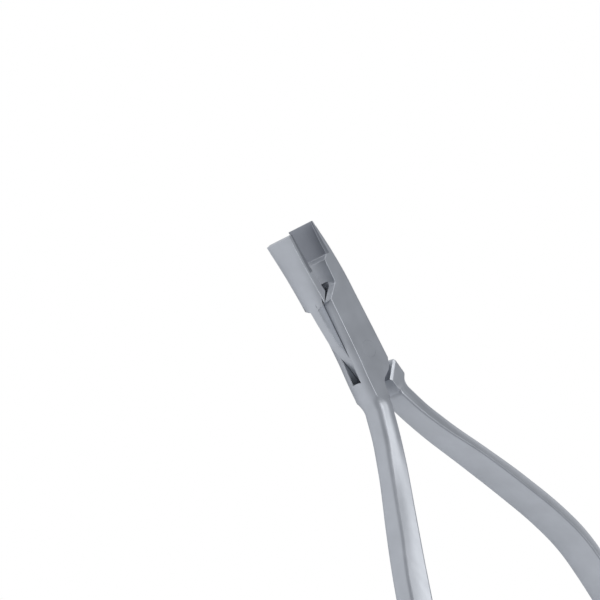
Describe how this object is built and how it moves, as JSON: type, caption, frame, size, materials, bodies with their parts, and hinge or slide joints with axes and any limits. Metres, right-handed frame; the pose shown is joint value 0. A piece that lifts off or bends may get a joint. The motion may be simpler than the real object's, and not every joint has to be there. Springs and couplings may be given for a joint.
{
  "type": "crimping pliers",
  "caption": "Slim hand pliers in satin steel: a thin tongue passes through a boxed joint, wide flat-faced crimping jaws, long bowed handles with flat inner faces.",
  "frame": {"origin": "on the pivot axis, at the joint's lower flat face", "axes": "+Z along the pivot axis, out of the upper flat face; +Y from the pivot towards the jaws; +X towards the female half's jaw"},
  "size_m": [0.0746, 0.1325, 0.0092],
  "materials": {
    "satin_steel": "fine satin, bead-blasted and lightly brushed",
    "pin_steel": "ground flush with the joint face, satin",
    "insert_steel": "ground, satin"
  },
  "bodies": {
    "female_arm": {"female_half": "satin_steel", "female_tip_insert": "insert_steel", "pivot_pin": "pin_steel"},
    "male_arm": {"male_half": "satin_steel", "male_tip_insert": "insert_steel"}
  },
  "joints": [
    {"name": "jaw_pivot", "type": "hinge", "parent": "female_arm", "child": "male_arm", "pos_m": [0, 0, 0.0032], "axis": [0, 0, 1], "range_deg": [-13.4, 15]}
  ]
}
